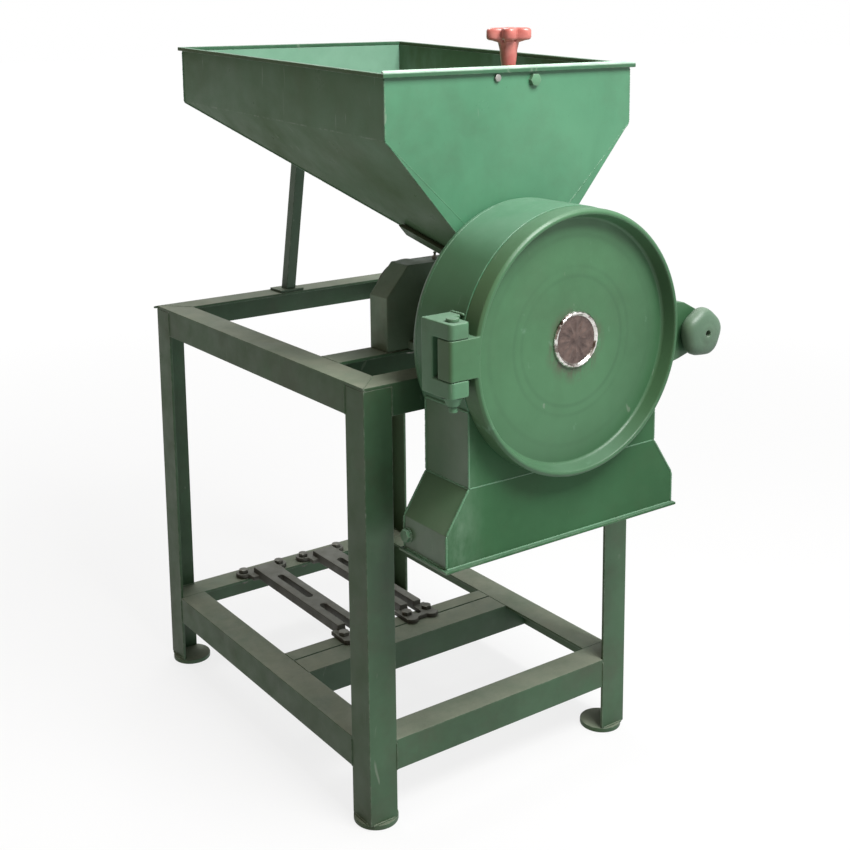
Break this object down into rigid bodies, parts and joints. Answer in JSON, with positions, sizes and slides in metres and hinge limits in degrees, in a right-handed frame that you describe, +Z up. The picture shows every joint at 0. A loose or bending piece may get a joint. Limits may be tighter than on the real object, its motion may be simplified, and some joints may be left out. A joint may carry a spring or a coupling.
{
  "type": "hammer mill",
  "caption": "Hammer mill on an angle-iron stand: sloping square feed hopper with screw gate, round casing with hinged dish door, swing-hammer rotor, screen and belt pulley.",
  "frame": {"origin": "centre of the footprint on the floor (centre of the bounding box's bottom face)", "axes": "+Z up; -Y is the front, towards the door; -X is the hinge side"},
  "size_m": [0.544, 0.908, 1.207],
  "materials": {
    "mill_green": "gloss enamel, scuffed",
    "frame_green": "dusty enamel",
    "cast_dark": "dark cast, oily",
    "steel": "machined",
    "zinc_steel": "zinc plated",
    "hammer_steel": "worn hard steel",
    "badge_plate": "bright plate",
    "knob_red": "moulded red"
  },
  "bodies": {
    "mill": {"leg_front_left": "frame_green", "leg_front_right": "frame_green", "leg_rear_left": "frame_green", "leg_rear_right": "frame_green", "foot_pads": "frame_green", "upper_rail_front": "frame_green", "upper_rail_rear": "frame_green", "upper_rails_side": "frame_green", "upper_cross_rail": "frame_green", "lower_rail_front": "frame_green", "lower_rail_rear": "frame_green", "lower_rails_side": "frame_green", "lower_cross_rail": "frame_green", "slide_support_bar": "frame_green", "slide_rail_left": "cast_dark", "slide_rail_right": "cast_dark", "slide_rail_bolts": "zinc_steel", "bearing_housing": "cast_dark", "bearing_cap": "cast_dark", "cap_screws": "zinc_steel", "housing_bolts": "zinc_steel", "grease_nipples": "zinc_steel", "bearing_outer_races": "steel", "casing_drum": "mill_green", "casing_back_plate": "mill_green", "back_plate_bolts": "zinc_steel", "discharge_skirt": "mill_green", "hinge_bracket": "mill_green", "hinge_pin": "mill_green", "latch_bracket": "mill_green", "screen": "steel", "toothed_liner": "cast_dark", "hopper_front_wall": "mill_green", "hopper_left_wall": "mill_green", "hopper_right_wall": "mill_green", "hopper_rear_wall": "mill_green", "hopper_rim": "mill_green", "inlet_throat": "frame_green", "hopper_strut": "frame_green", "gate_bracket": "mill_green", "bracket_bolts": "zinc_steel"},
    "rotor": {"rotor_shaft": "steel", "rotor_hub": "cast_dark", "hammer_pins": "steel", "pulley": "cast_dark", "shaft_nuts": "zinc_steel", "bearing_inner_rings": "steel", "bearing_rollers": "steel"},
    "hammer_a": {"hammer_top": "hammer_steel"},
    "hammer_b": {"hammer_right": "hammer_steel"},
    "hammer_c": {"hammer_bottom": "hammer_steel"},
    "hammer_d": {"hammer_left": "hammer_steel"},
    "door": {"door": "mill_green", "badge": "badge_plate"},
    "latch_slider": {"latch_washer": "zinc_steel"},
    "latch_handle": {"latch_knob": "mill_green", "latch_screw": "zinc_steel"},
    "feed_gate": {"feed_gate": "steel"},
    "gate_handle": {"star_knob": "knob_red", "gate_screw": "steel"}
  },
  "joints": [
    {"name": "rotor_spin", "type": "hinge", "parent": "mill", "child": "rotor", "pos_m": [-0.01, -0.173, 0.763], "axis": [0, 1, 0], "continuous": true},
    {"name": "hammer_a_swing", "type": "hinge", "parent": "rotor", "child": "hammer_a", "pos_m": [-0.01, -0.356, 0.861], "axis": [0, 1, 0], "continuous": true},
    {"name": "hammer_b_swing", "type": "hinge", "parent": "rotor", "child": "hammer_b", "pos_m": [0.088, -0.356, 0.763], "axis": [0, 1, 0], "continuous": true},
    {"name": "hammer_c_swing", "type": "hinge", "parent": "rotor", "child": "hammer_c", "pos_m": [-0.01, -0.356, 0.665], "axis": [0, 1, 0], "continuous": true},
    {"name": "hammer_d_swing", "type": "hinge", "parent": "rotor", "child": "hammer_d", "pos_m": [-0.108, -0.356, 0.763], "axis": [0, 1, 0], "continuous": true},
    {"name": "door_hinge", "type": "hinge", "parent": "mill", "child": "door", "pos_m": [-0.23, -0.419, 0.774], "axis": [0, 0, -1], "range_deg": [0, 105]},
    {"name": "latch_slide", "type": "slide", "parent": "door", "child": "latch_slider", "axis": [0, -1, 0], "range_m": [0, 0.022]},
    {"name": "latch_spin", "type": "hinge", "parent": "latch_slider", "child": "latch_handle", "pos_m": [0.228, -0.44, 0.746], "axis": [0, -1, 0], "range_deg": [0, 3960]},
    {"name": "gate_slide", "type": "slide", "parent": "mill", "child": "feed_gate", "axis": [0, 0, 1], "range_m": [0, 0.065]},
    {"name": "knob_spin", "type": "hinge", "parent": "mill", "child": "gate_handle", "pos_m": [-0.01, -0.269, 1.19], "axis": [0, 0, -1], "range_deg": [0, 4680]}
  ],
  "couplings": [
    {"joint": "latch_slide", "follows": "latch_spin", "m_per_rad": 0.00031831},
    {"joint": "gate_slide", "follows": "knob_spin", "m_per_rad": 0.00079577}
  ]
}
